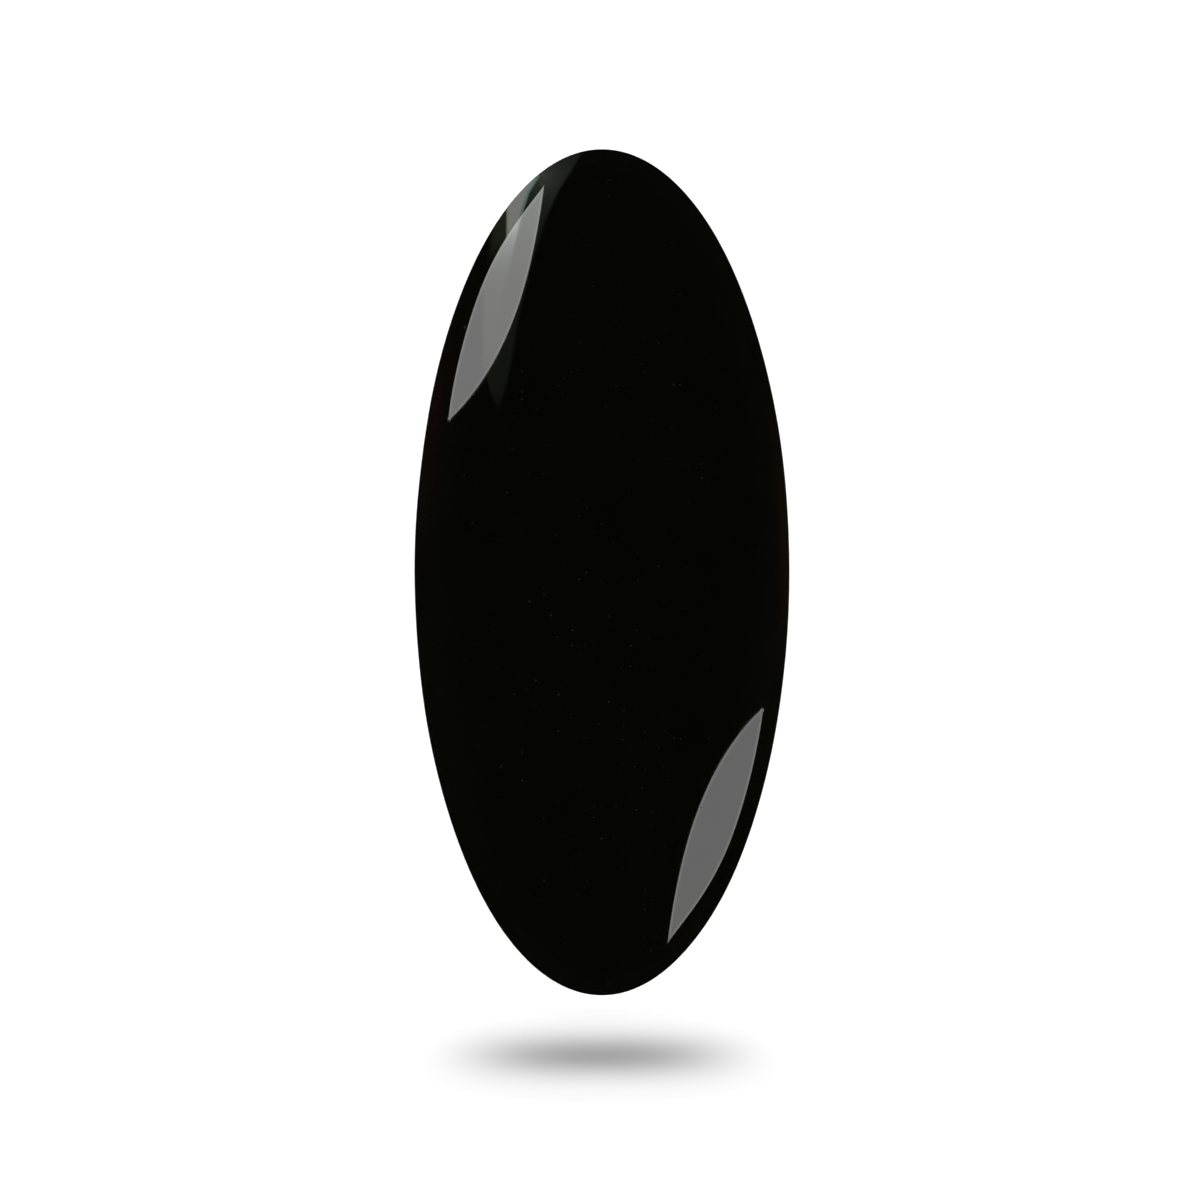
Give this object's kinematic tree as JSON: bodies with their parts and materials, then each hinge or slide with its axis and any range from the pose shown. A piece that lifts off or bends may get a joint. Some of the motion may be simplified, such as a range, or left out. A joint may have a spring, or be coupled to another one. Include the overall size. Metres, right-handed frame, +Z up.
{
  "type": "massage stone",
  "caption": "Long oval hand-held massage stone of polished black rock, with rounded faces and a small flat seat underneath.",
  "frame": {"origin": "middle of the flat seat under the stone, so the stone rests on z = 0", "axes": "+Y along the stone's long axis, +X across its width, +Z up from the seat to the crown"},
  "size_m": [0.0444, 0.1, 0.02],
  "materials": {
    "polished_basalt": "polished"
  },
  "bodies": {
    "root": {"stone": "polished_basalt"}
  },
  "joints": []
}
